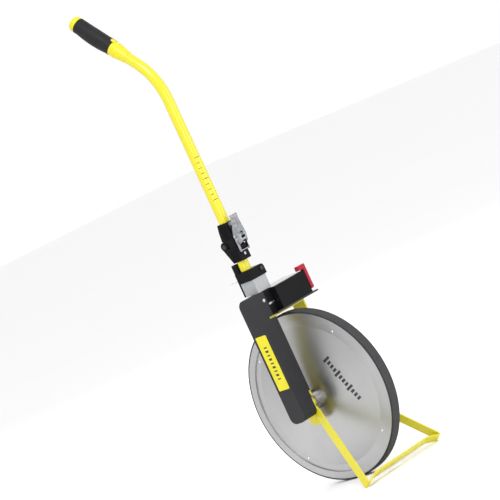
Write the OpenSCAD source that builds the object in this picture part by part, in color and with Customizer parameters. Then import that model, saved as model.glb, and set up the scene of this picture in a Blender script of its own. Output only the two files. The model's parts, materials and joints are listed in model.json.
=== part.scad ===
// Folding measuring wheel: a wheel of 1 m circumference in a steel fork, a belt in the side leg
// that drives a drum counter above the wheel, a folding handle with a toggle latch, and a stand.
// Every part is drawn in the wheel's own frame: x forward, y up, z out through the drive side.
// wheel_frame() sets that frame on the ground: world X forward, Y away from the drive side, Z up.

/* [Wheel] */
// Rolling radius, for a circumference of one metre
wheel_r = 159.155; // [150:0.001:165]
// Width of the tyre
tyre_w = 21.4; // [19:0.1:24]
// Thickness of the tyre's rubber
tyre_t = 3.6; // [3:0.1:4]
// Sheet thickness of the two wheel discs
disc_t = 1.5; // [1:0.1:2]
// Height of a disc's centre above the wheel's middle plane
dome_z = 23.4; // [22:0.1:26]

/* [Fork] */
// Width of the fork's flat steel
fork_w = 28.6; // [26:0.1:30]
// Thickness of the fork's flat steel
fork_t = 4; // [3.5:0.1:4]
// Half the distance between the fork's inner faces
fork_in = 38.6; // [38.5:0.1:39]
// Height of the fork crown's top above the axle
crown_y = 167.8; // [167:0.1:169]
// Length of the fork legs below the axle
fork_drop = 41; // [38:1:44]

/* [Drive leg] */
// Inner face of the drive leg, from the wheel's middle plane
leg_in = 46.8; // [46.8:0.1:47]
// Depth of the drive leg, away from the wheel
leg_d = 35.4; // [34:0.1:38]
// Width of the drive leg
leg_w = 34.6; // [34.4:0.1:36]
// Top of the drive leg above the axle
leg_top = 213; // [212:0.5:214]
// Bottom of the drive leg below the axle
leg_drop = 22; // [21:0.5:22.5]
// Thickness of the plastic walls
wall = 2.4; // [2:0.1:2.6]
// Length of the label on the leg
label_h = 102; // [80:1:110]

/* [Counter] */
// Height of the drum shaft above the axle
shaft_y = 190; // [189:0.5:191]
// Depth of the counter case, front to back
case_d = 60; // [56:1:62]
// Length of the counter case, along the drum shaft
case_l = 83; // [80:1:84]
// Drive-side face of the counter case
case_z = 28; // [27:0.5:28.2]
// Radius of the number drums
drum_r = 16; // [14:0.5:16.5]
// Number of drums
drum_n = 5; // [4:1:6]

/* [Handle] */
// Radius of the handle tube
tube_r = 10; // [9.5:0.1:10.5]
// Wall thickness of the handle tube
tube_t = 1.5; // [1:0.1:2]
// Distance of the tube's axis from the wheel's middle plane
tube_z = 43.9; // [43:0.1:45]
// Height above the axle where the tube's two straight lines would meet
bend_y = 625; // [600:5:650]
// Angle that the grip leans back from the tube
bend_a = 41.8; // [35:0.1:50]
// Bend radius of the tube's axis
bend_r = 120; // [100:5:130]
// Length from the bend's corner to the end of the grip
grip_l = 201.5; // [195:0.5:210]
// Radius of the grip
grip_r = 14.3; // [13.5:0.1:15]

/* [Stand] */
// Angle of the stand in front of straight down
stand_a = 36; // [33:0.1:37]
// Half the distance between the feet
foot_z = 108; // [95:1:115]
// Width of the stand's strip
strip_w = 16; // [14:0.5:18]
// Thickness of the stand's strip
strip_t = 3; // [2.5:0.1:3.2]

/* [Hidden] */

$fn = 96;
e = 0.01;
gap = 0.3;                              // between faces that pass each other
run = 0.05;                             // radial clearance of a running fit

// Wheel
rim_r = wheel_r - tyre_t;
disc_r = rim_r - 0.1;
disc_face = tyre_w / 2 - 0.2;
step_r = 144;
step_drop = 2.4;
ring2 = disc_face - step_drop;          // outer face of a disc's second ring
dome_r = 130;
land_r = 22;
dome_rise = dome_z - ring2;
dome_sphere = (dome_r * dome_r + dome_rise * dome_rise) / (2 * dome_rise);
hub_r = 18;
hub_end = fork_in - 1;
rivet_ring = 136;
rivet_r = 1.5;
axle_r = 5;
axle_far = -56.5;
axle_near = 76;
bush_r = 7.5;
washer_r = 20.6;
fork_out = fork_in + fork_t;
eye_in = fork_out + 0.8;
eye_r = 17;
stand_l = (wheel_r - strip_w / 2 * sin(stand_a)) / cos(stand_a);
washer_t = 0.5;
eye_step = 0.05;                        // the eye's plate stands this proud of the strip on both faces
eye_t = strip_t + 2 * eye_step;
slot_r = 11.6;
slot_w = 4.2;
stop_r = 1.9;
stop_a = 60;
stand_range = 148;

// Drive
leg_out = leg_in + leg_d;
cover_z = leg_out - 3.2;
label_w = 25.7;
label_x = 0.9;
label_y = 93.2;
pulley_r = 11.2;
pulley_z = 64;
pulley_w = 10;
belt_in = pulley_r + 0.4;
belt_t = 1.5;
idler_r = 5;
idler_y = 100;
idler_x = belt_in - idler_r - gap;

// Counter
bolt_x = [-7, 7];
bolt_z = 34.5;
bolt_r = 3;
plate_y = crown_y + 0.1;
plate_t = 2.8;
case_y = plate_y + plate_t + 0.1;
case_top = leg_top - 1;
case_far = case_z - case_l;
drum_w = 10;
drum_pitch = 13;
shaft_r = 3;
lever_x = 26.5;
lever_w = 9;
lever_y = 180;
lever_z = case_far - 0.7;

// Neck and hinge
neck_y = leg_top + 0.3;
neck_top = 238.5;
collar_top = 257.5;
block_y = 276;
split_y = 302;
pin_x = -14.5;
pin_y = 309;
pin_r = 2.5;
knuckle_r = 8;
block_w = 23;
ear_w = 3.8;
block_top = 348;
latch_x = 20.5;
latch_y = 309.5;
bail_x = 18.6;
bail_y = 319.5;
bar_y = 293;
latch_pin_r = 1.6;
rivet_x = 10.2;
rivet_y = 286.1;

module wheel_frame() {
    translate([0, 0, wheel_r]) rotate([90, 0, 0]) children();
}

// The same part on both sides of the wheel's middle plane
module both_sides() {
    children();
    mirror([0, 0, 1]) children();
}

module ring(r_out, r_in, z0, z1) {
    translate([0, 0, z0]) difference() {
        cylinder(r = r_out, h = z1 - z0);
        translate([0, 0, -1]) cylinder(r = r_in, h = z1 - z0 + 2);
    }
}

// A rectangle from (x0, y0) to (x1, y1) with one radius at each corner, from the lower left round
module rounded(x0, y0, x1, y1, radii) {
    corners = [[x0, y0, 1, 1], [x1, y0, -1, 1], [x1, y1, -1, -1], [x0, y1, 1, -1]];
    difference() {
        translate([x0, y0]) square([x1 - x0, y1 - y0]);
        for (i = [0:3]) {
            c = corners[i];
            r = radii[i];
            if (r > 0) translate([c[0], c[1]]) difference() {
                translate([c[2] > 0 ? -1 : -r, c[3] > 0 ? -1 : -r]) square([r + 1, r + 1]);
                translate([c[2] * r, c[3] * r]) circle(r);
            }
        }
    }
}

module slab(z0, z1) {
    translate([0, 0, z0]) linear_extrude(z1 - z0) children();
}

// A straight round bar or screw along y from y0 to y1
module upright(x, z, r, y0, y1) {
    translate([x, y0, z]) rotate([-90, 0, 0]) cylinder(r = r, h = y1 - y0);
}

// ---- Wheel ----------------------------------------------------------------------------------

module tyre() color([0.16, 0.16, 0.17]) wheel_frame() {
    half = tyre_w / 2;
    shoulder = 1.7;
    rotate_extrude() union() {
        translate([rim_r, -half]) square([tyre_t - shoulder, tyre_w]);
        translate([rim_r, shoulder - half]) square([tyre_t, tyre_w - 2 * shoulder]);
        for (s = [-1, 1]) translate([wheel_r - shoulder, s * (half - shoulder)]) circle(shoulder);
    }
}

module rim() color("silver") wheel_frame() {
    inner = disc_face - disc_t;
    rotate_extrude() union() {
        translate([rim_r - 2, -inner]) square([2, 2 * inner]);
        for (s = [-1, 1])
            translate([step_r + 2, s * (inner - 1) - 1]) square([rim_r - step_r - 3, 2]);
    }
}

// One dished disc: a flat rim ring, a step, a second ring, a spherical dome and a flat centre
module disc_shell() {
    difference() {
        rotate_extrude($fn = 180) disc_section();
        rivet_places() translate([0, 0, ring2 - disc_t - 1]) cylinder(r = rivet_r, h = disc_t + 2);
    }
}

module disc_section() {
    union() {
        translate([step_r, disc_face - disc_t]) square([disc_r - step_r, disc_t]);
        translate([step_r - disc_t, ring2 - disc_t]) square([disc_t, disc_face - ring2 + disc_t]);
        translate([dome_r - disc_t, ring2 - disc_t]) square([step_r - dome_r, disc_t]);
        intersection() {
            translate([land_r - disc_t, 0]) square([dome_r - land_r + disc_t, dome_z]);
            translate([0, ring2 + dome_rise - dome_sphere]) difference() {
                circle(dome_sphere, $fn = 720);
                circle(dome_sphere - disc_t, $fn = 720);
            }
        }
        translate([hub_r, dome_land() - disc_t]) square([land_r - hub_r, disc_t]);
    }
}

// Height of the dome's outer face where the flat centre begins
function dome_land() = ring2 + dome_rise - dome_sphere + sqrt(dome_sphere * dome_sphere - land_r * land_r);

// The four places round the second ring where the two discs are riveted together
module rivet_places() {
    for (a = [48:90:318]) rotate(a) translate([rivet_ring, 0, 0]) children();
}

module disc_near() color([0.8, 0.81, 0.82]) wheel_frame() disc_shell();

module disc_far() color([0.8, 0.81, 0.82]) wheel_frame() mirror([0, 0, 1]) disc_shell();

// A turned hub with a cup in each end
module hub() color([0.72, 0.73, 0.75]) wheel_frame() difference() {
    cup_depth = 7;
    cylinder(r = hub_r, h = 2 * hub_end, center = true);
    cylinder(r = axle_r, h = 2 * hub_end + 2, center = true);
    both_sides() ring(hub_r - 2.2, bush_r + 1, hub_end - cup_depth, hub_end + 1);
}

module disc_rivets() color([0.85, 0.85, 0.86]) wheel_frame() rivet_places() {
    head_r = 2.4;
    cylinder(r = rivet_r, h = 2 * ring2, center = true);
    both_sides() translate([0, 0, ring2]) intersection() {
        cylinder(r = head_r, h = 1.3);
        translate([0, 0, -1.5]) sphere(2.85);
    }
}

module axle() color("silver") wheel_frame()
    translate([0, 0, axle_far]) cylinder(r = axle_r, h = axle_near - axle_far);

module pulley() {
    teeth = 18;
    difference() {
        union() {
            cylinder(r = pulley_r - 1, h = pulley_w);
            for (i = [0:teeth - 1]) rotate(i * 360 / teeth)
                translate([pulley_r - 1.6, -0.9, 1]) cube([1.6, 1.8, pulley_w - 2]);
            for (z = [0, pulley_w - 1]) translate([0, 0, z]) cylinder(r = belt_in + belt_t + 0.5, h = 1);
        }
        children();
    }
}

module drive_pulley() color([0.2, 0.2, 0.21]) wheel_frame() translate([0, 0, pulley_z])
    pulley() translate([0, 0, -1]) cylinder(r = axle_r, h = pulley_w + 2);

module axle_washer() color("silver") wheel_frame()
    ring(10, axle_r, -eye_in - eye_t - 1.5, -eye_in - eye_t - gap);

module axle_nut() color("silver") wheel_frame() translate([0, 0, axle_far + 0.5]) difference() {
    intersection() {
        cylinder(r = 9.2, h = 8, $fn = 6);
        translate([0, 0, 5]) sphere(9.6);
    }
    translate([0, 0, -1]) cylinder(r = axle_r, h = 10);
}

// ---- Fork and stand bearings ----------------------------------------------------------------

module fork() color([0.95, 0.85, 0.1]) wheel_frame() difference() {
    union() {
        slab_crown();
        both_sides() slab(fork_in, fork_out) {
            r = 9;
            rounded(-fork_w / 2, -fork_drop, fork_w / 2, crown_y - 6, [r, r, 0, 0]);
        }
    }
    translate([0, 0, -fork_out - 1]) cylinder(r = bush_r, h = 2 * fork_out + 2);
    for (y = leg_screw_y) translate([0, y, fork_in - 1]) cylinder(r = 2.5, h = fork_t + 2);
    for (x = bolt_x) upright(x, bolt_z, bolt_r, crown_y - 10, crown_y + 10);
}

// The crown with its two bends, and the stub that carries the drive leg
module slab_crown() {
    r = 6;
    stub = 15.4;
    translate([-fork_w / 2, 0, 0]) rotate([0, 90, 0]) linear_extrude(fork_w) union() {
        difference() {
            translate([-fork_out, crown_y - r]) square([2 * fork_out, r]);
            translate([-fork_in, crown_y - r - 1]) square([2 * fork_in, r - fork_t + 1]);
            translate([fork_out - r, crown_y - r]) difference() {
                square(r + 1);
                circle(r);
            }
        }
        translate([-fork_out - stub, crown_y - fork_t]) square([stub + 1, fork_t]);
    }
}

// A flanged bush pressed into the fork leg; the stand's eye turns on its outside
module bearing(reach) color([0.7, 0.6, 0.35]) wheel_frame() difference() {
    union() {
        translate([0, 0, fork_in - 0.6]) cylinder(r = 11, h = 0.6);
        translate([0, 0, fork_in - 0.6]) cylinder(r = bush_r, h = reach - fork_in + 0.6);
    }
    translate([0, 0, fork_in - 2]) cylinder(r = axle_r + run, h = 20);
}

module bearing_near() bearing(leg_in);

module bearing_far() translate([0, 0, wheel_r]) mirror([0, 1, 0]) translate([0, 0, -wheel_r])
    bearing(eye_in + eye_t);

module pivot_washers() color([0.86, 0.86, 0.88]) wheel_frame()
    both_sides() ring(washer_r, bush_r, fork_out, fork_out + washer_t);

module stop_pin() color("silver") wheel_frame() both_sides()
    rotate(stop_a) translate([slot_r, 0, fork_out + washer_t]) cylinder(r = stop_r, h = strip_t);

module stand() color([0.95, 0.85, 0.1]) wheel_frame() difference() {
    union() {
        both_sides() translate([0, 0, eye_in]) cylinder(r = eye_r, h = eye_t);
        rotate(stand_a - 90) translate([0, strip_w / 2, 0]) rotate([90, 0, 0])
            linear_extrude(strip_w) stand_outline();
    }
    translate([0, 0, -80]) cylinder(r = bush_r + run, h = 160);
    both_sides() translate([0, 0, eye_in - 1]) rotate(stop_a - 12)
        rotate_extrude(angle = stand_range + 24) translate([slot_r - slot_w / 2, 0])
            square([slot_w, eye_t + 2]);
}

// Inner line of one half of the bent strip: along the eye, out to the round foot, in to the bar
function stand_half() =
    let (flat = 24, bar = 180, half_bar = 78, r = 1.5, foot = [stand_l - r - strip_t, foot_z - r - strip_t])
    let (out = atan2(foot[1] - eye_in, foot[0] - flat) + 90)
    let (back = atan2(foot[1] - half_bar, foot[0] - bar) - 90)
    concat([[14.6, eye_in + eye_step], [flat, eye_in + eye_step]],
        [for (i = [0:6]) foot + r * [cos(out + (back - out) * i / 6), sin(out + (back - out) * i / 6)]],
        [[bar, half_bar]]);

// Left-hand unit normal of the line from a to b
function normal(a, b) = [a[1] - b[1], b[0] - a[0]] / norm(b - a);

// The same line moved outward by the strip's thickness, with mitred corners
function stand_outer(p) = [for (i = [0:len(p) - 1])
    let (n1 = normal(p[max(i - 1, 0)], p[max(i, 1)]), n2 = i < len(p) - 1 ? normal(p[i], p[i + 1]) : [1, 0])
    p[i] + (n1 + n2) * strip_t / (1 + n1 * n2)];

function reversed(p) = [for (i = [len(p) - 1:-1:0]) p[i]];

function other_side(p) = [for (q = p) [q[0], -q[1]]];

module stand_outline() {
    inner = stand_half();
    outer = stand_outer(inner);
    polygon(concat(inner, reversed(other_side(inner)), other_side(outer), reversed(outer)));
}

// ---- Drive leg ------------------------------------------------------------------------------

module leg_outline(inset) {
    bottom_r = 12;
    back_r = 14;
    front_r = 3;
    rounded(-leg_w / 2 + inset, -leg_drop + inset, leg_w / 2 - inset, leg_top - inset,
        [bottom_r - inset, bottom_r - inset, front_r - min(inset, 2), back_r - inset]);
}

// Places of the screws that hold the fork, the spacers and the drive leg together
leg_screw_y = [60, 130];

module leg_spacers() color("silver") wheel_frame()
    for (y = leg_screw_y) translate([0, y, 0]) ring(7, 2.5, fork_out, leg_in);

module leg_screws() color("silver") wheel_frame() for (y = leg_screw_y)
    translate([0, y, 0]) {
        translate([0, 0, fork_in - 2]) cylinder(r = 4, h = 2);
        translate([0, 0, fork_in - 1]) cylinder(r = 2.5, h = leg_in + wall - fork_in + 5);
        translate([0, 0, leg_in + wall]) cylinder(r = 4.6, h = 3, $fn = 6);
    }

module leg_case() color([0.2, 0.2, 0.22]) wheel_frame() difference() {
    union() {
        slab(leg_in, cover_z) leg_outline(0);
        leg_lips();
    }
    slab(leg_in + wall, cover_z + 1) leg_outline(wall);
    for (p = cover_screw_places) translate([p[0], p[1], leg_in - 1]) {
        cylinder(r = 1.6, h = wall + 2);
        cylinder(r = 2.8, h = 2.3);
    }
    translate([0, 0, leg_in - 1]) cylinder(r = 8, h = wall + 2);
    translate([0, shaft_y, leg_in - 1]) cylinder(r = 5, h = wall + 2);
    for (y = leg_screw_y) translate([0, y, leg_in - 1]) cylinder(r = 2.5, h = wall + 2);
    translate([-fork_w / 2 - 0.1, crown_y - fork_t - 0.1, leg_in - 1])
        cube([leg_w, fork_t + 0.2, fork_out + 15.6 - leg_in + 1]);
}

// Two lips along the leg's back that close over the edges of the fork's leg
module leg_lips() {
    lip_t = leg_w / 2 - fork_w / 2 - gap;
    lip_y = 22;
    for (x = [fork_w / 2 + gap, -leg_w / 2]) translate([x, lip_y, fork_out - 1.1])
        cube([lip_t, crown_y - fork_t - 1 - lip_y, leg_in - fork_out + 1.2]);
}

module leg_cover() color([0.2, 0.2, 0.22]) wheel_frame() difference() {
    union() {
        slab(cover_z, leg_out) leg_outline(0);
        for (p = cover_screw_places) translate([p[0], p[1], leg_in + wall])
            cylinder(r = 3, h = cover_z - leg_in - wall + 1);
    }
    for (p = cover_screw_places) translate([p[0], p[1], leg_in]) cylinder(r = 1.6, h = wall + 10);
}

// The cover is screwed on from the wheel side, into bosses that reach back from it
cover_screw_places = [[-10.9, -13.1], [10.9, -13.1], [-9.5, 204.2], [11, 205]];

module cover_screws() color([0.3, 0.3, 0.31]) wheel_frame() for (p = cover_screw_places)
    translate([p[0], p[1], 0]) {
        translate([0, 0, leg_in + 0.2]) cylinder(r = 2.8, h = 1.1);
        translate([0, 0, leg_in + 0.2]) cylinder(r = 1.6, h = wall + 9.8);
    }

module leg_label() color([0.95, 0.85, 0.1]) wheel_frame() translate([label_x, label_y, 0]) {
    r = 2;
    half_w = label_w / 2;
    half_h = label_h / 2;
    slab(leg_out, leg_out + 0.5) rounded(-half_w, -half_h, half_w, half_h, [r, r, r, r]);
}

// A loop round both pulleys, drawn as two half rings and two straight runs
module drive_belt() color([0.12, 0.12, 0.12]) wheel_frame() slab(pulley_z + 1.3, pulley_z + pulley_w - 1.3) {
    for (y = [0, shaft_y]) difference() {
        translate([0, y]) circle(belt_in + belt_t);
        translate([0, y]) circle(belt_in);
        translate([-20, y == 0 ? 0 : y - 20]) square([40, 20]);
    }
    for (s = [-1, 1]) translate([s * (belt_in + belt_t / 2) - belt_t / 2, 0]) square([belt_t, shaft_y]);
}

module idler_pin() color("silver") wheel_frame() translate([idler_x, idler_y, leg_in + wall])
    cylinder(r = 2, h = pulley_z + pulley_w - leg_in - wall + 1);

module belt_idler() color([0.85, 0.85, 0.8]) wheel_frame() translate([idler_x, idler_y, 0])
    ring(idler_r, 2 + run, pulley_z, pulley_z + pulley_w);

// ---- Counter --------------------------------------------------------------------------------

module base_plate() color([0.12, 0.12, 0.13]) wheel_frame() difference() {
    plate_far = case_far - 13;
    translate([-case_d / 2 - 2, plate_y, plate_far]) cube([case_d + 3, plate_t, leg_in - gap - plate_far]);
    for (x = bolt_x) upright(x, bolt_z, bolt_r, plate_y - 1, plate_y + plate_t + 1);
}

module base_bolts() color("silver") wheel_frame() for (x = bolt_x) {
    upright(x, bolt_z, bolt_r, crown_y - fork_t, plate_y + plate_t + 12);
    translate([x, crown_y - fork_t, bolt_z]) rotate([90, 0, 0]) cylinder(r = 4.2, h = 3, $fn = 6);
}

// The cover that joins the drive leg to the counter and hides the neck's foot
module bridge_cover() color([0.13, 0.13, 0.14]) wheel_frame() difference() {
    slab(case_z + gap, leg_in - gap) rounded(-leg_w / 2, case_y, leg_w / 2, leg_top, [0, 0, 3, 8]);
    slab(case_z - 1, leg_in + 1) rounded(-leg_w / 2 + wall, case_y + 0.1 - 1, leg_w / 2 - wall,
        leg_top - wall, [0, 0, 1, 6]);
    translate([-11.3, leg_top - 10, case_z + 2]) cube([22.6, 20, 15.2]);
}

module drive_clip() color([0.8, 0.8, 0.82]) wheel_frame() translate([leg_w / 2, 188.5, 0])
    rotate([0, 90, 0]) linear_extrude(0.9)
        rounded(-45.6, -1.7, -31, 1.7, [0.8, 0.8, 0.8, 0.8]);

module counter_case() color([0.09, 0.09, 0.1]) wheel_frame() difference() {
    slab(case_far, case_z) rounded(-case_d / 2, case_y, case_d / 2, case_top, [0, 0, 2, 6]);
    slab(case_far + wall, case_z - wall) rounded(-case_d / 2 + wall, case_y - 1, case_d / 2 - wall,
        case_top - wall, [0, 0, 1, 4]);
    translate([0, shaft_y, case_far - 1]) cylinder(r = shaft_r + run, h = case_l + 2);
    translate([-24, case_top - wall - 1, case_far + 5]) cube([48, wall + 2, case_l - 10]);
    for (p = case_screw_places()) translate([-case_d / 2 - 1, p[0], p[1]]) rotate([0, 90, 0])
        cylinder(r = 1.5, h = wall + 2);
}

function case_screw_places() = [for (y = [177, 204], z = [case_far + 6, case_z - 6]) [y, z]];

module case_screws() color([0.25, 0.25, 0.26]) wheel_frame() {
    for (p = case_screw_places()) translate([wall - case_d / 2, p[0], p[1]]) rotate([0, -90, 0]) {
        cylinder(r = 1.5, h = wall);
        translate([0, 0, wall]) cylinder(r = 2.3, h = 0.6);
    }
    translate([leg_w / 2, 198, 54]) rotate([0, 90, 0]) difference() {
        cylinder(r = 3, h = 0.8);
        translate([-2, -0.4, 0.4]) cube([4, 0.8, 1]);
    }
}

module counter_window() color([0.85, 0.88, 0.9, 0.5]) wheel_frame()
    translate([-23.9, case_top - wall, case_far + 5.1]) cube([47.8, wall + 0.4, case_l - 10.2]);

module counter_shaft() color("silver") wheel_frame() translate([0, shaft_y, case_far + 0.3])
    cylinder(r = shaft_r, h = pulley_z + pulley_w + 1.5 - case_far);

module counter_pulley() color([0.2, 0.2, 0.21]) wheel_frame() translate([0, shaft_y, pulley_z])
    pulley() translate([0, 0, -1]) cylinder(r = shaft_r, h = pulley_w + 2);

// A hollow drum with a web and a boss; the drive-side drum is fixed to the shaft
module number_drum(i, bore_r) color([0.93, 0.93, 0.9]) wheel_frame()
    translate([0, shaft_y, case_z - 10 - drum_w - drum_pitch * (i - 1)]) difference() {
        cylinder(r = drum_r, h = drum_w);
        translate([0, 0, 2]) ring(drum_r - 2, 6, 0, drum_w);
        translate([0, 0, -1]) cylinder(r = bore_r, h = drum_w + 2);
    }

module reset_pivot() color("silver") wheel_frame() translate([lever_x, lever_y, lever_z - 8]) {
    cylinder(r = 2.5, h = 8.7);
    cylinder(r = 4.2, h = 1);
}

module reset_lever() color([0.8, 0.1, 0.15]) wheel_frame() difference() {
    union() {
        x0 = lever_x - lever_w / 2;
        x1 = lever_x + lever_w / 2;
        slab(lever_z - 6.6, lever_z) rounded(x0, 176, x1, 222.5, [4, 4, 2, 2]);
        slab(lever_z - 6.6, lever_z + 12) rounded(x0, 214.2, x1, 222.5, [1, 1, 2, 2]);
    }
    translate([lever_x, lever_y, lever_z - 7]) cylinder(r = 2.5 + run, h = 10);
}

// ---- Neck -----------------------------------------------------------------------------------

// The grey casting that stands on the crown and clamps the lower tube
module neck_block() color([0.62, 0.64, 0.65]) wheel_frame() difference() {
    union() {
        translate([-15.5, neck_y, 21]) cube([31, neck_top - neck_y, 35]);
        translate([-11, plate_y + plate_t, 30.3]) cube([22, neck_y - plate_y - plate_t + e, 14.6]);
    }
    upright(0, tube_z, tube_r, 216, 260);
    translate([0, shaft_y, 20]) cylinder(r = 5, h = 40);
    for (x = bolt_x) upright(x, bolt_z, bolt_r, plate_y, plate_y + plate_t + 12);
}

module neck_collar() color([0.1, 0.1, 0.11]) wheel_frame() difference() {
    union() {
        translate([-17, 0, 0]) rotate([0, 90, 0]) linear_extrude(34)
            rounded(-58.5, neck_top, -17, collar_top, [0, 0, 7, 1.5]);
        slab(45, 56) rounded(-18.5, neck_top + 2, -7, 274, [0, 0, 2, 2]);
        slab(30, 56) rounded(-19.5, leg_top + 1, -15.8, neck_top + 1.5, [1, 0, 0, 1]);
    }
    upright(0, tube_z, tube_r, neck_top - 1, 280);
    translate([-20, 250, 26]) rotate([0, 90, 0]) cylinder(r = 2, h = 40);
    translate([-20, 244.5, 56.2]) rotate([0, 90, 0]) cylinder(r = 1.7, h = 8);
}

module collar_screw() color("silver") wheel_frame() translate([17, 250, 26]) rotate([0, -90, 0]) {
    cylinder(r = 2, h = 34);
    translate([0, 0, -2]) cylinder(r = 3.8, h = 2);
    translate([0, 0, 34]) cylinder(r = 4, h = 3, $fn = 6);
}

module stow_pin() color([0.75, 0.76, 0.78]) wheel_frame() translate([-12, 244.5, 56.2])
    rotate([0, -90, 0]) {
        cylinder(r = 1.7, h = 24);
        translate([0, 0, 24]) sphere(1.7, $fn = 32);
    }

module lower_tube() color([0.95, 0.85, 0.1]) wheel_frame() difference() {
    upright(0, tube_z, tube_r, 216, split_y - 6);
    upright(0, tube_z, tube_r - tube_t, 215, split_y);
}

// ---- Folding hinge --------------------------------------------------------------------------

module block_slab(w) {
    slab(tube_z - w / 2, tube_z + w / 2) children();
}

// Upright grooves on both flat sides of a hinge block
module side_grooves(y0, y1, w) {
    for (s = [-1, 1], x = [-5, -1.5, 2, 5.5, 9])
        translate([x - 0.7, y0, tube_z + s * w / 2 - 0.7]) cube([1.4, y1 - y0, 1.4]);
}

module lower_hinge_block() color([0.14, 0.14, 0.15]) wheel_frame() difference() {
    union() {
        block_slab(block_w)
            polygon([[-9.5, block_y], [14, block_y], [14, split_y], [-6, split_y], [-6, 290]]);
        for (s = [-1, 1]) translate([0, 0, s * (block_w - ear_w) / 2]) block_slab(ear_w) {
            polygon([[-9.5, block_y], [-22.4, pin_y], [pin_x, pin_y], [-6, split_y], [-6, block_y]]);
            translate([pin_x, pin_y]) circle(knuckle_r);
        }
    }
    upright(0, tube_z, tube_r, block_y - 1, split_y - 6);
    translate([pin_x, pin_y, 0]) cylinder(r = pin_r, h = 80);
    block_slab(block_w - 2 * ear_w) translate([pin_x, pin_y]) circle(knuckle_r + 0.4);
    side_grooves(block_y + 2, split_y - 3, block_w);
    translate([rivet_x, rivet_y, tube_z]) rotate([0, 90, 0]) cylinder(r = 1.6, h = 8);
}

module hinge_pin() color("silver") wheel_frame() translate([pin_x, pin_y, tube_z - block_w / 2 - 1]) {
    cylinder(r = pin_r, h = block_w + 2);
    cylinder(r = pin_r + 1.5, h = 1);
    translate([0, 0, block_w + 1]) cylinder(r = pin_r + 1.5, h = 1);
}

// The catch at whose foot the latch's bar lies. Its face follows the bar's path, so the upper
// block can swing away about the hinge pin.
module catch_lug() color([0.1, 0.1, 0.11]) wheel_frame() block_slab(17.6)
    polygon([[14, 289], [16.2, 289], [16.8, 293.5], [19, 301.5], [18, 303], [14, 303]]);

module catch_rivet() color("silver") wheel_frame()
    translate([rivet_x, rivet_y, tube_z]) rotate([0, 90, 0]) {
        cylinder(r = 1.6, h = 14 - rivet_x);
        translate([0, 0, 14 - rivet_x]) cylinder(r = 2.6, h = 1);
    }

module upper_hinge_block() color([0.14, 0.14, 0.15]) wheel_frame() difference() {
    union() {
        block_slab(block_w - 1)
            polygon([[-15, 318.3], [-13, 334], [-9.5, block_top], [12.5, block_top],
                [12.5, split_y + 0.4], [-4, split_y + 0.4], [-4, 312]]);
        block_slab(block_w - 2 * ear_w - 0.6) {
            translate([pin_x, pin_y]) circle(knuckle_r);
            polygon([[pin_x, pin_y - 3], [-4, split_y + 0.4], [-4, 319], [-15, 319], [-22, 311.5]]);
        }
    }
    for (s = [-1, 1]) translate([0, 0, s * (block_w / 2 - ear_w + 5 - 0.3)]) block_slab(10)
        translate([pin_x, pin_y]) circle(knuckle_r + 0.4);
    translate([pin_x, pin_y, 0]) cylinder(r = pin_r + run, h = 80);
    upright(0, tube_z, tube_r - seat_t, 312, block_top + 1);
    side_grooves(318, block_top - 3, block_w - 1);
}

// ---- Handle ---------------------------------------------------------------------------------

bend_l = bend_r * tan(bend_a / 2);
seat_t = 0.1;

// The frame of the grip: its z runs along the grip from the bend's corner
module grip_frame() {
    translate([0, bend_y, tube_z]) rotate([-90, 0, 0]) rotate([0, -bend_a, 0]) children();
}

// The tube's end is turned down by seat_t, so its shoulder stands on the block
module tube_path(r) {
    upright(0, tube_z, r - seat_t, 312, block_top + 1);
    upright(0, tube_z, r, block_top, bend_y - bend_l);
    translate([-bend_r, bend_y - bend_l, tube_z]) rotate_extrude(angle = bend_a)
        translate([bend_r, 0]) circle(r);
    grip_frame() translate([0, 0, bend_l - 0.5]) cylinder(r = r - 0.02, h = 188.5 - bend_l);
}

module handle_tube() color([0.95, 0.85, 0.1]) wheel_frame() difference() {
    tube_path(tube_r);
    tube_path(tube_r - tube_t);
}

// The yellow collar: a cone, a round bulge and a tongue that keys into the sleeve
module grip_collar() color([0.95, 0.85, 0.1]) wheel_frame() grip_frame() difference() {
    union() {
        rotate_extrude() {
            polygon([[tube_r, 70], [tube_r + 0.4, 70], [13.2, 90], [13.2, 98], [tube_r, 98]]);
            translate([tube_r, 95]) square([grip_r - tube_r - 0.6, 11]);
            translate([9.4, 96.5]) circle(5, $fn = 48);
        }
        intersection() {
            ring(grip_r + 0.4, tube_r, 104, 113);
            translate([12, 0, 100]) rotate([0, 90, 0]) linear_extrude(10, center = true)
                rounded(-13, -4, 5, 4, [3.9, 0, 0, 3.9]);
        }
    }
    translate([0, 0, 60]) cylinder(r = tube_r, h = 60);
}

module grip_sleeve() color([0.1, 0.1, 0.1]) wheel_frame() grip_frame() difference() {
    union() {
        translate([0, 0, 106.1]) cylinder(r = grip_r, h = 81.7);
        translate([-3, 0, 147]) rotate_extrude() intersection() {
            translate([0, -36]) square([20, 72]);
            translate([grip_r - 0.2 - 260, 0]) circle(260, $fn = 720);
        }
    }
    translate([0, 0, 100]) cylinder(r = tube_r, h = 90);
    translate([12, 0, 100]) rotate([0, 90, 0]) linear_extrude(12, center = true)
        rounded(-13.3, -4.2, 5, 4.2, [4.1, 0, 0, 4.1]);
}

module grip_cap() color([0.95, 0.85, 0.1]) wheel_frame() grip_frame() rotate_extrude() {
    round_r = 8;
    translate([0, 188]) square([grip_r, grip_l - 188 - round_r]);
    translate([0, grip_l - round_r]) square([grip_r - round_r, round_r]);
    translate([grip_r - round_r, grip_l - round_r]) intersection() {
        circle(round_r);
        square(round_r);
    }
    translate([0, 174]) square([tube_r - tube_t - run, 15]);
}

// ---- Toggle latch ---------------------------------------------------------------------------

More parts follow.
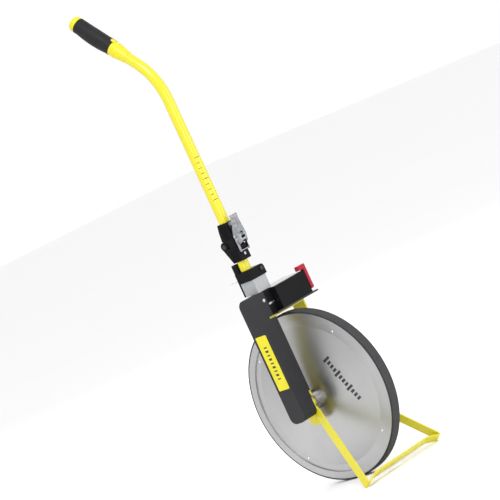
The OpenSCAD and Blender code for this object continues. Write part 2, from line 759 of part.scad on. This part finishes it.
module latch_base() color([0.8, 0.81, 0.83]) wheel_frame() difference() {
    union() {
        block_slab(15) translate([12.5, latch_y - 5]) square([1.4, 42]);
        for (s = [-1, 1]) translate([0, 0, s * 6.8]) block_slab(1.4) {
            translate([12.6, latch_y - 4.4]) square([8, 8.8]);
            translate([latch_x, latch_y]) circle(4.4);
        }
    }
    translate([latch_x, latch_y, 0]) cylinder(r = latch_pin_r, h = 80);
}

module latch_pivot() color("silver") wheel_frame()
    translate([latch_x, latch_y, tube_z - 9.5]) cylinder(r = latch_pin_r, h = 19);

module lever_side() {
    translate([latch_x, latch_y]) circle(6.1);
    polygon([[latch_x - 6.1, latch_y], [14.9, 322], [18, 331], [22.4, 338], [25.4, 341],
        [27.2, 330], [28.2, 319], [latch_x + 6.1, latch_y]]);
}

// A pressed channel: two cheeks, a bowed back with a window, and a flared thumb end
module latch_lever() color([0.78, 0.79, 0.81]) wheel_frame() difference() {
    union() {
        for (s = [-1, 1]) translate([0, 0, s * 8.65]) block_slab(1.5) lever_side();
        block_slab(18.8) polygon([[26, 309.5], [27, 309.5], [28.6, 319], [27.6, 331], [26.1, 345],
            [27, 357], [25.6, 357], [24.7, 345], [26.1, 331], [27.1, 319]]);
    }
    translate([latch_x, latch_y, 0]) cylinder(r = latch_pin_r + run, h = 80);
    translate([bail_x, bail_y, 0]) cylinder(r = latch_pin_r, h = 80);
    translate([24, 322, tube_z]) rotate([0, 90, 0]) cylinder(r = 3.2, h = 8);
    translate([24, 312.5, tube_z - 5]) cube([8, 5, 10]);
}

module bail_pivot() color("silver") wheel_frame()
    translate([bail_x, bail_y, tube_z - 11.6]) cylinder(r = latch_pin_r, h = 23.2);

// The link: two straps on the pin and a round bar that pulls up under the lug
module latch_bail() color([0.82, 0.83, 0.85]) wheel_frame() difference() {
    union() {
        for (s = [-1, 1]) translate([0, 0, s * 10.4]) block_slab(1.2) {
            translate([bail_x, bail_y]) circle(3.2);
            translate([bail_x - 2.2, bar_y]) square([4.4, bail_y - bar_y]);
            translate([bail_x, bar_y]) circle(2.2, $fn = 48);
        }
        translate([bail_x, bar_y, tube_z - 11]) cylinder(r = 1.2, h = 22);
    }
    translate([bail_x, bail_y, 0]) cylinder(r = latch_pin_r + run, h = 80);
}

tyre();
rim();
disc_near();
disc_far();
hub();
disc_rivets();
axle();
drive_pulley();
axle_washer();
axle_nut();
fork();
bearing_near();
bearing_far();
pivot_washers();
stop_pin();
leg_spacers();
leg_screws();
leg_case();
leg_cover();
cover_screws();
leg_label();
drive_belt();
idler_pin();
belt_idler();
base_plate();
base_bolts();
bridge_cover();
drive_clip();
counter_case();
counter_window();
case_screws();
counter_shaft();
counter_pulley();
number_drum(1, shaft_r);  // number_drum_1
number_drum(2, shaft_r + run);  // number_drum_2
number_drum(3, shaft_r + run);  // number_drum_3
number_drum(4, shaft_r + run);  // number_drum_4
number_drum(5, shaft_r + run);  // number_drum_5
reset_pivot();
reset_lever();
neck_block();
neck_collar();
collar_screw();
stow_pin();
lower_tube();
lower_hinge_block();
hinge_pin();
catch_lug();
catch_rivet();
upper_hinge_block();
handle_tube();
grip_collar();
grip_sleeve();
grip_cap();
latch_base();
latch_pivot();
latch_lever();
bail_pivot();
latch_bail();
stand();
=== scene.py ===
"""A folding measuring wheel: looks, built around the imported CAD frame."""
import json
import math

import bmesh
import bpy
from mathutils import Euler, Matrix, Vector


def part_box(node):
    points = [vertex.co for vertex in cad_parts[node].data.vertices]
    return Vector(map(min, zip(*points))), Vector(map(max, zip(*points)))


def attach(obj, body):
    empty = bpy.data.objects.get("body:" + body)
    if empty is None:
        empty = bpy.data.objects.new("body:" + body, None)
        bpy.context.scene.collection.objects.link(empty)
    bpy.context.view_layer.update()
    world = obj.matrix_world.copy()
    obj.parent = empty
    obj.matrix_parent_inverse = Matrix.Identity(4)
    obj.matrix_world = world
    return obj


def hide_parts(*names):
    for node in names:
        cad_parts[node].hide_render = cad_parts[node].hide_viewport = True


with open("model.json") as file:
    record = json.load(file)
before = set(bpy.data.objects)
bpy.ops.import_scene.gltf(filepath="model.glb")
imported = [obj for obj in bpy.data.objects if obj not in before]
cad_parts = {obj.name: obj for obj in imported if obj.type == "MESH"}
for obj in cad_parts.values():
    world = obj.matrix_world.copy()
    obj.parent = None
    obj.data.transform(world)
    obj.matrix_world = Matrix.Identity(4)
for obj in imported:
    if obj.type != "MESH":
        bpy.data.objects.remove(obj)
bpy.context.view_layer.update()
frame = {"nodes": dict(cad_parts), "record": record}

NODES = frame["nodes"]
MM = 0.001
AXLE_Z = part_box("tyre")[1].z / 2
AXLE = Vector((0, 0, AXLE_Z))

# Sizes that the added pieces follow, in millimetres in the wheel's own frame: x forward, y up
# from the axle, z out through the drive side
TUBE_Z = 43.9
TUBE_R = 10.0
LABEL_FACE = 82.7
LABEL_MID = (0.9, 93.2)
DOME_R = 130.0
DOME_RISE = 15.3
DOME_FOOT = 8.1


# ---- Node-material helpers ---------------------------------------------------------------------

class Mat:
    """A principled material with short helpers for its procedural detail."""

    def __init__(self, name, color, rough=0.5, metal=0.0, **sockets):
        self.mat = bpy.data.materials.new(name)
        self.mat.use_nodes = True
        self.tree = self.mat.node_tree
        self.bsdf = self.tree.nodes["Principled BSDF"]
        self.coords = self.node("ShaderNodeTexCoord").outputs["Object"]
        self.set("Base Color", (*color, 1))
        self.set("Roughness", rough)
        self.set("Metallic", metal)
        for key, value in sockets.items():
            self.set(key.replace("_", " "), value)
        self.color = color
        self.height = None

    def set(self, socket, value):
        self.bsdf.inputs[socket].default_value = value

    def node(self, kind, **inputs):
        node = self.tree.nodes.new(kind)
        for key, value in inputs.items():
            self.put(node.inputs[key], value)
        return node

    def put(self, socket, value):
        if isinstance(value, bpy.types.NodeSocket):
            self.tree.links.new(value, socket)
        else:
            socket.default_value = value

    def math(self, op, a, b=0.0):
        node = self.node("ShaderNodeMath")
        node.operation = op
        self.put(node.inputs[0], a)
        self.put(node.inputs[1], b)
        return node.outputs[0]

    def noise(self, scale, detail=3.0, rough=0.5, coords=None):
        node = self.node("ShaderNodeTexNoise", Vector=coords or self.coords, Scale=scale,
                         Detail=detail, Roughness=rough)
        return node.outputs["Fac"]

    def ramp(self, value, low, high, to_low=0.0, to_high=1.0):
        node = self.node("ShaderNodeMapRange", Value=value)
        node.inputs["From Min"].default_value = low
        node.inputs["From Max"].default_value = high
        node.inputs["To Min"].default_value = to_low
        node.inputs["To Max"].default_value = to_high
        return node.outputs[0]

    def mix(self, fac, a, b):
        node = self.node("ShaderNodeMix")
        node.data_type = "RGBA"
        self.put(node.inputs[0], fac)
        self.put(node.inputs[6], (*a, 1) if isinstance(a, tuple) else a)
        self.put(node.inputs[7], (*b, 1) if isinstance(b, tuple) else b)
        return node.outputs[2]

    def shade(self, fac, dark, light):
        """Base colour that varies between two tints of itself."""
        a = tuple(c * dark for c in self.color)
        b = tuple(min(c * light, 1.0) for c in self.color)
        self.put(self.bsdf.inputs["Base Color"], self.mix(fac, a, b))

    def rough(self, fac, low, high):
        """Roughness that varies from low to high with a noise."""
        self.put(self.bsdf.inputs["Roughness"], self.ramp(fac, 0.3, 0.7, low, high))

    def bump(self, height, strength, depth):
        """Adds a bump of that depth in metres, on top of those already there."""
        node = self.node("ShaderNodeBump", Strength=strength, Distance=depth, Height=height)
        if self.height is not None:
            self.tree.links.new(self.height, node.inputs["Normal"])
        self.height = node.outputs[0]
        self.put(self.bsdf.inputs["Normal"], self.height)

    def polar(self):
        """Distance from the wheel's axis and angle about it."""
        moved = self.node("ShaderNodeMapping", Vector=self.coords, Location=tuple(-AXLE)).outputs[0]
        parts = self.node("ShaderNodeSeparateXYZ", Vector=moved)
        x, z = parts.outputs["X"], parts.outputs["Z"]
        square = self.math("ADD", self.math("MULTIPLY", x, x), self.math("MULTIPLY", z, z))
        return self.math("SQRT", square), self.math("ARCTAN2", z, x)


def grain(mat, size, strength=0.25, depth=0.00012):
    """Fine moulded or cast grain, and a slow change of gloss over it."""
    gloss = mat.bsdf.inputs["Roughness"].default_value
    mat.bump(mat.noise(1 / size, 2.0, 0.6), strength, depth)
    mat.rough(mat.noise(22.0, 3.0), gloss * 0.85, min(gloss * 1.2, 1.0))
    return mat


def rubber_tyre():
    """Dark rubber with a paler, worn tread."""
    mat = Mat("tyre_rubber", (0.036, 0.036, 0.038), 0.62, Specular_IOR_Level=0.25)
    radius, _ = mat.polar()
    grain(mat, 0.0008)
    tread = mat.ramp(radius, 0.1575, 0.1590, 0.0, 0.7)
    mat.shade(mat.math("ADD", tread, mat.math("MULTIPLY", mat.noise(60.0, 4.0), 0.5)), 0.35, 1.6)
    return mat


def spun_metal(name, color, rings=1500.0):
    """Metal with faint concentric turning marks and a cloudy, satin gloss."""
    mat = Mat(name, color, 0.34, 1.0, Anisotropic=0.55)
    radius, angle = mat.polar()
    spun = mat.node("ShaderNodeCombineXYZ", X=mat.math("MULTIPLY", radius, rings),
                    Y=mat.math("MULTIPLY", angle, 0.6))
    lines = mat.noise(1.0, 3.0, 0.6, coords=spun.outputs[0])
    tangent = mat.node("ShaderNodeTangent")
    tangent.direction_type = "RADIAL"
    tangent.axis = "Y"
    mat.put(mat.bsdf.inputs["Tangent"], tangent.outputs[0])
    cloud = mat.math("MULTIPLY", mat.noise(14.0), 0.5)
    mat.shade(mat.math("ADD", mat.math("MULTIPLY", lines, 0.5), cloud), 0.80, 1.10)
    mat.rough(mat.noise(9.0, 4.0), 0.27, 0.42)
    mat.bump(lines, 0.12, 0.00004)
    return mat


def paint(name, color, rough=0.28, coat=0.35):
    """Powder coat: orange peel, a hint of dirt in patches and a clear gloss."""
    mat = Mat(name, color, rough)
    mat.set("Coat Weight", coat)
    mat.set("Coat Roughness", 0.12)
    mat.shade(mat.noise(35.0, 4.0), 0.95, 1.03)
    mat.rough(mat.noise(40.0, 3.0), rough * 0.9, rough * 1.15)
    mat.bump(mat.noise(900.0, 2.0), 0.04, 0.00002)
    return mat


def plastic(name, color, rough, size=0.0007, strength=0.3, specular=0.5):
    """Moulded plastic with a fine grain of that size in metres."""
    mat = Mat(name, color, rough, Specular_IOR_Level=specular)
    mat.shade(mat.noise(45.0, 4.0), 0.88, 1.12)
    return grain(mat, size, strength)


def plated(name, color, rough=0.25):
    """Plated metal with a cloudy, slightly pitted gloss."""
    mat = Mat(name, color, rough, 1.0)
    mat.shade(mat.noise(120.0, 4.0), 0.85, 1.08)
    mat.rough(mat.noise(260.0, 3.0), rough * 0.7, rough * 1.5)
    mat.bump(mat.noise(700.0, 3.0), 0.15, 0.00006)
    return mat


def pressed_nickel():
    """Plated, pressed sheet with a wavy bump, and painted reflections: strong light and dark blotches in
    its colour.
    """
    mat = plated("latch_nickel", (0.34, 0.35, 0.37), 0.16)
    # Painted reflection: high-contrast light and dark blotches in the base colour stand in for broken
    # reflections
    mat.shade(mat.noise(210.0, 2.0), 0.25, 1.9)
    mat.bump(mat.noise(150.0, 2.0), 0.7, 0.0008)
    return mat


def cast_zinc():
    """A cast and blasted grey block."""
    mat = Mat("cast_zinc", (0.40, 0.41, 0.42), 0.5, 0.55)
    mat.shade(mat.noise(420.0, 5.0, 0.7), 0.72, 1.2)
    mat.bump(mat.noise(1400.0, 3.0, 0.7), 0.5, 0.00025)
    mat.rough(mat.noise(300.0), 0.42, 0.62)
    return mat


def sleeve_rubber():
    """Soft grip rubber with fine stipple."""
    mat = Mat("sleeve_rubber", (0.014, 0.014, 0.015), 0.58, Specular_IOR_Level=0.18)
    mat.shade(mat.noise(90.0, 4.0), 0.8, 1.3)
    mat.bump(mat.noise(1500.0, 2.0), 0.5, 0.0002)
    mat.rough(mat.noise(50.0), 0.48, 0.68)
    return mat


def clear_plastic():
    """The counter's scuffed, smoky window."""
    mat = Mat("clear_window", (0.40, 0.42, 0.43), 0.14)
    mat.set("Transmission Weight", 0.3)
    mat.set("IOR", 1.49)
    mat.bump(mat.noise(60.0, 2.0), 0.1, 0.0001)
    mat.rough(mat.noise(140.0, 4.0), 0.08, 0.22)
    return mat


YELLOW = (0.64, 0.57, 0.005)
M = {
    "tyre_rubber": rubber_tyre(),
    "disc_metal": spun_metal("spun_disc", (0.46, 0.46, 0.465)),
    "rim_metal": spun_metal("rim_metal", (0.5, 0.5, 0.5)),
    "hub_metal": spun_metal("turned_hub", (0.36, 0.35, 0.33), 3000.0),
    "steel": plated("zinc_plate", (0.66, 0.67, 0.69)),
    "chrome": pressed_nickel(),
    "bush_bronze": plated("bush_bronze", (0.55, 0.40, 0.18), 0.4),
    "yellow_steel": paint("yellow_coat", YELLOW),
    "yellow_tube": paint("yellow_tube_coat", YELLOW, 0.24, 0.5),
    "yellow_plastic": plastic("yellow_moulding", YELLOW, 0.34, 0.0012, 0.15),
    "leg_plastic": plastic("leg_moulding", (0.024, 0.024, 0.027), 0.55, specular=0.22),
    "black_plastic": plastic("black_moulding", (0.004, 0.004, 0.005), 0.5, specular=0.12),
    "black_metal": paint("black_coat", (0.010, 0.010, 0.011), 0.38, 0.2),
    "block_zinc": cast_zinc(),
    "grip_rubber": sleeve_rubber(),
    "red_plastic": plastic("red_moulding", (0.33, 0.005, 0.025), 0.38, 0.0012, 0.15, 0.3),
    "drum_white": plastic("drum_moulding", (0.82, 0.82, 0.79), 0.4, 0.0012, 0.1),
    "pulley_plastic": plastic("pulley_moulding", (0.03, 0.03, 0.033), 0.45),
    "belt_rubber": plastic("belt_rubber", (0.02, 0.02, 0.02), 0.7),
    "window": clear_plastic(),
    # Painted highlight: a pale grey for the bevel faces of some mouldings, standing in for the thin light
    # lines along their edges
    "edge_painted_highlight": plastic("painted_edge_highlight", (0.26, 0.26, 0.27), 0.4, specular=0.5),
    "ink": plastic("printing_ink", (0.02, 0.02, 0.022), 0.45, 0.0009, 0.1),
}


# ---- CAD pieces ---------------------------------------------------------------------------------

def finish_cad():
    """Every CAD node gets its slot's material and, where it has edges worth it, a small bevel; on some
    mouldings the bevel faces get a pale grey painted highlight.
    """
    slots = {s["node"]: s["material_slot"] for s in frame["record"]["subparts"]}
    edge_lit = {"leg_case", "leg_cover", "counter_case", "bridge_cover", "neck_collar"}
    soft = {"leg_case": 0.9, "leg_cover": 1.2, "bridge_cover": 0.6, "counter_case": 0.6, "neck_collar": 0.8,
            "neck_block": 0.7, "reset_lever": 0.8, "stand": 0.5, "fork": 0.5, "lower_hinge_block": 0.5,
            "upper_hinge_block": 0.5, "catch_lug": 0.4, "base_plate": 0.3, "latch_lever": 0.25,
            "latch_base": 0.25, "latch_bail": 0.25, "axle_nut": 0.3, "grip_cap": 0.4, "tyre": 0.3,
            "drive_clip": 0.2, "counter_window": 0.3, "hub": 0.5}
    for name, node in NODES.items():
        node.data.materials.clear()
        node.data.materials.append(M[slots[name]].mat)
        if name in soft:
            bevel = node.modifiers.new("edge", "BEVEL")
            bevel.width = soft[name] * MM
            bevel.segments = 3
            bevel.limit_method = "ANGLE"
            bevel.angle_limit = math.radians(38)
            bevel.harden_normals = True
            # Painted highlight: these mouldings get a pale grey on their bevel faces in place of lit edges
            if name in edge_lit:
                node.data.materials.append(M["edge_painted_highlight"].mat)
                bevel.material = 1


# ---- Added pieces -------------------------------------------------------------------------------

def mesh_object(name, bm, material, body, smooth=True):
    """Makes a piece of bm that rides on body, with its faces turned outward."""
    bmesh.ops.recalc_face_normals(bm, faces=bm.faces)
    mesh = bpy.data.meshes.new(name)
    bm.to_mesh(mesh)
    bm.free()
    for poly in mesh.polygons:
        poly.use_smooth = smooth
    piece = bpy.data.objects.new(name, mesh)
    bpy.context.scene.collection.objects.link(piece)
    piece.data.materials.append(M[material].mat)
    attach(piece, body)
    return piece


def skin(bm, rows, closed):
    """Joins each closed row of vertices to the next, and the last to the first if closed."""
    for i in range(len(rows) if closed else len(rows) - 1):
        a, b = rows[i], rows[(i + 1) % len(rows)]
        for j in range(len(a)):
            k = (j + 1) % len(a)
            bm.faces.new((a[j], a[k], b[k], b[j]))


def box(bm, centre, half, axes=(Vector((1, 0, 0)), Vector((0, 1, 0)), Vector((0, 0, 1)))):
    """A box about centre, with half sizes along three axes."""
    rows = []
    for side in (-1, 1):
        rows.append([bm.verts.new(Vector(centre) + axes[0] * half[0] * side + axes[1] * half[1] * j
                                  + axes[2] * half[2] * k)
                     for j, k in ((-1, -1), (-1, 1), (1, 1), (1, -1))])
    skin(bm, rows, closed=False)
    bm.faces.new(rows[0])
    bm.faces.new(reversed(rows[1]))


def local(x, y, z):
    """A place in the wheel's own frame, in millimetres, as a world vector."""
    return AXLE + Vector((x, -z, y)) * MM


def ribbed_tyre():
    """The tyre with fine ribs across its tread, all cut below the CAD tyre's surface."""
    bm = bmesh.new()
    ribs, flank = 520, 0.06
    depth, half, inner, outer = 0.45 * MM, 10.7 * MM, 155.56 * MM, AXLE_Z
    section = ((inner, -half), (outer - 2.3 * MM, -half), (outer - 0.8 * MM, -half + 0.7 * MM),
               (outer - 0.1 * MM, -half + 2.2 * MM), (outer - 0.1 * MM, half - 2.2 * MM),
               (outer - 0.8 * MM, half - 0.7 * MM), (outer - 2.3 * MM, half), (inner, half))
    edges = ((-0.25 - flank, True), (-0.25 + flank, False), (0.25 - flank, False), (0.25 + flank, True))
    rows = []
    for rib in range(ribs):
        for place, groove in edges:
            turn = math.tau * (rib + place) / ribs
            row = []
            for j, (r, along) in enumerate(section):
                r -= depth if groove and 2 <= j <= 5 else 0.0
                row.append(bm.verts.new(AXLE + Vector((math.cos(turn) * r, along, math.sin(turn) * r))))
            rows.append(row)
    skin(bm, rows, closed=True)
    tyre = mesh_object("tyre_ribbed", bm, "tyre_rubber", "wheel", smooth=False)
    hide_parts("tyre")


def label_print():
    """A plain ladder of graduation bars, raised a hair above the label."""
    bm = bmesh.new()
    half, bars, step = 0.06, 9, 7.4
    mid_x, mid_y = LABEL_MID
    for i in range(bars):
        place = local(mid_x, mid_y + (i - (bars - 1) / 2) * step, LABEL_FACE + half)
        box(bm, place, (3.6 * MM, half * MM, (1.9 if i % 2 else 1.1) * MM))
    mesh_object("label_print", bm, "ink", "frame", smooth=False)


def disc_scale():
    """A plain row of graduation bars, laid on each dome beside the hub."""
    bm = bmesh.new()
    sphere = (DOME_R ** 2 + DOME_RISE ** 2) / (2 * DOME_RISE)
    turn = math.radians(-68.6)
    ahead = Vector((math.cos(turn), 0, math.sin(turn)))
    upward = Vector((-math.sin(turn), 0, math.cos(turn)))
    bars, start, step, reach = 12, -34, 8.0, 77
    lift, half = 0.02, 0.06
    for side in (-1, 1):
        out = Vector((0, side, 0))
        for i in range(bars):
            place = ahead * (start + i * step) + upward * reach
            drop = math.sqrt(sphere ** 2 - place.length_squared)
            normal = (place + out * drop).normalized()
            along = (ahead - normal * normal.dot(ahead)).normalized()
            middle = AXLE + (place + out * (DOME_FOOT + DOME_RISE - sphere + drop) + normal * lift) * MM
            box(bm, middle, (2.4 * MM, (4.2 if i % 4 else 7.5) * MM, half * MM),
                (along, normal.cross(along), normal))
    mesh_object("disc_scale", bm, "ink", "wheel", smooth=False)


def tube_marks():
    """Small marks round the straight tube, at even steps, in place of printed words."""
    bm = bmesh.new()
    steps, half = 8, 0.5 * MM
    inner, outer = TUBE_R * MM, (TUBE_R + 0.09) * MM
    up = Vector((0, 0, 1))
    for i in range(9):
        sweep = math.radians(36 if i % 4 else 60)
        rows = []
        for j in range(steps + 1):
            out = Matrix.Rotation(sweep * j / steps, 3, up) @ Vector((0.55, -0.83, 0))
            rows.append([bm.verts.new(local(0, 392 + i * 10, TUBE_Z) + out * r + up * h)
                         for r, h in ((inner, -half), (outer, -half), (outer, half), (inner, half))])
        skin(bm, rows, closed=False)
        bm.faces.new(rows[0])
        bm.faces.new(reversed(rows[-1]))
    mesh_object("tube_marks", bm, "ink", "handle", smooth=False)


finish_cad()
ribbed_tyre()
label_print()
disc_scale()
tube_marks()


# ---- Camera, light and floor -------------------------------------------------------------------

def look_camera():
    """The photograph's viewpoint: low, from the front of the drive side, with the horizon rolled."""
    camera = bpy.data.cameras.new("camera")
    camera.sensor_width = 36.0
    camera.lens = 208.4
    camera.clip_end = 50.0
    distance = Vector((3.522, -3.615, 0.634))
    angles = Euler([math.radians(a) for a in (85.639, 24.594, 42.554)])
    obj = bpy.data.objects.new("camera", camera)
    obj.matrix_world = Matrix.LocRotScale(AXLE + distance, angles, None)
    bpy.context.scene.collection.objects.link(obj)
    bpy.context.scene.camera = obj


def area_light(name, place, aim, size, power):
    light = bpy.data.lights.new(name, "AREA")
    light.shape = "RECTANGLE"
    light.size, light.size_y = size
    light.energy = power
    obj = bpy.data.objects.new(name, light)
    obj.location = place
    obj.rotation_euler = (Vector(aim) - Vector(place)).to_track_quat("-Z", "Y").to_euler()
    bpy.context.scene.collection.objects.link(obj)


def studio():
    """A white world, four soft lights and a plain pale floor."""
    world = bpy.data.worlds.new("studio")
    world.use_nodes = True
    background = world.node_tree.nodes["Background"]
    background.inputs["Color"].default_value = (1.0, 1.0, 1.0, 1)
    background.inputs["Strength"].default_value = 1.0
    bpy.context.scene.world = world
    area_light("key", (1.2, -1.6, 2.8), (0, 0, 0.35), (1.4, 1.0), 42)
    area_light("front", (2.6, -2.5, 0.9), (0, 0, 0.35), (0.5, 1.2), 16)
    area_light("rim", (-1.8, 1.6, 2.0), (0, 0, 0.3), (1.4, 1.4), 30)
    area_light("fill", (3.0, 1.0, 1.0), (0, 0, 0.3), (1.2, 1.8), 18)
    floor = bmesh.new()
    bmesh.ops.create_grid(floor, x_segments=2, y_segments=2, size=12)
    mesh = bpy.data.meshes.new("floor")
    floor.to_mesh(mesh)
    floor.free()
    obj = bpy.data.objects.new("floor", mesh)
    bpy.context.scene.collection.objects.link(obj)
    mat = Mat("floor_paper", (0.93, 0.93, 0.93), 0.9)
    mat.shade(mat.noise(3.0), 0.99, 1.01)
    obj.data.materials.append(mat.mat)


look_camera()
studio()
bpy.context.scene.view_settings.view_transform = "Standard"
